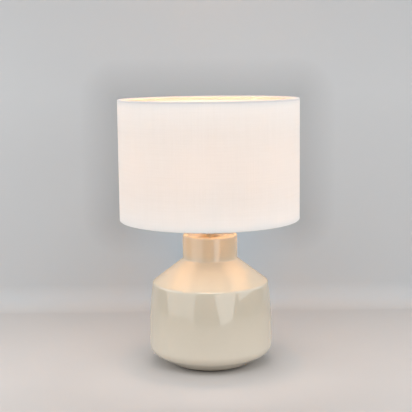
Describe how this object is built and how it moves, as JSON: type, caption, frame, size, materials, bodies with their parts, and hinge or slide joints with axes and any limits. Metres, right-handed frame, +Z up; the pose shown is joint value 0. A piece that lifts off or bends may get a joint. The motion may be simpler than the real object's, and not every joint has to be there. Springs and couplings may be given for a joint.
{
  "type": "table lamp",
  "caption": "Table lamp with a hollow glazed ceramic base, screw-cap lampholder, lit bulb and a cylindrical linen drum shade on a wire carrier.",
  "frame": {"origin": "centre of the foot, on the surface the lamp stands on", "axes": "+Z up along the lamp's axis, +Y towards the cable hole at the back, -Y towards the front"},
  "size_m": [0.3, 0.3, 0.445],
  "materials": {
    "glaze": "glossy cream glaze",
    "felt": "felt",
    "rubber": "soft moulded",
    "zinc_steel": "zinc plated",
    "holder_plastic": "moulded, semi-gloss",
    "holder_brass": "satin, lacquered",
    "core_plastic": "moulded",
    "brass": "bright",
    "cap_metal": "rolled",
    "bulb_plastic": "moulded",
    "opal": "opal diffuser, lit",
    "black_insulator": "moulded",
    "board": "white solder mask",
    "chips": "phosphor",
    "linen": "slubbed plain weave",
    "film": "satin film",
    "wire": "white powder coat"
  },
  "bodies": {
    "base": {"ceramic_base": "glaze", "base_pad": "felt", "cable_grommet": "rubber", "threaded_nipple": "zinc_steel", "seat_washer": "zinc_steel", "rubber_washer": "rubber", "clamp_washer": "zinc_steel", "lock_washer": "zinc_steel", "nipple_nut": "zinc_steel", "holder_cap": "holder_brass", "grub_screw": "zinc_steel", "holder_skirt": "holder_plastic", "holder_core": "core_plastic", "terminal_screws": "brass", "screw_shell": "brass", "centre_contact": "brass", "shell_contact": "brass"},
    "shade_ring": {"shade_ring": "holder_plastic"},
    "bulb": {"bulb_globe": "opal", "bulb_housing": "bulb_plastic", "bulb_cap": "cap_metal", "bulb_insulator": "black_insulator", "bulb_contact": "brass", "led_board": "board", "led_chips": "chips", "driver_board": "board"},
    "shade": {"shade_fabric": "linen", "shade_liner": "film", "side_seam": "film", "top_hem": "linen", "bottom_hem": "linen", "top_ring": "wire", "bottom_ring": "wire", "carrier_arms": "wire", "carrier_hub": "wire"}
  },
  "joints": [
    {"name": "shade_turn", "type": "hinge", "parent": "base", "child": "shade", "pos_m": [0, 0, 0.2537], "axis": [0, 0, 1], "continuous": true},
    {"name": "ring_unscrew", "type": "slide", "parent": "base", "child": "shade_ring", "axis": [0, 0, 1], "range_m": [0, 0.0175]},
    {"name": "bulb_unscrew", "type": "slide", "parent": "base", "child": "bulb", "axis": [0, 0, 1], "range_m": [0, 0.022]}
  ]
}
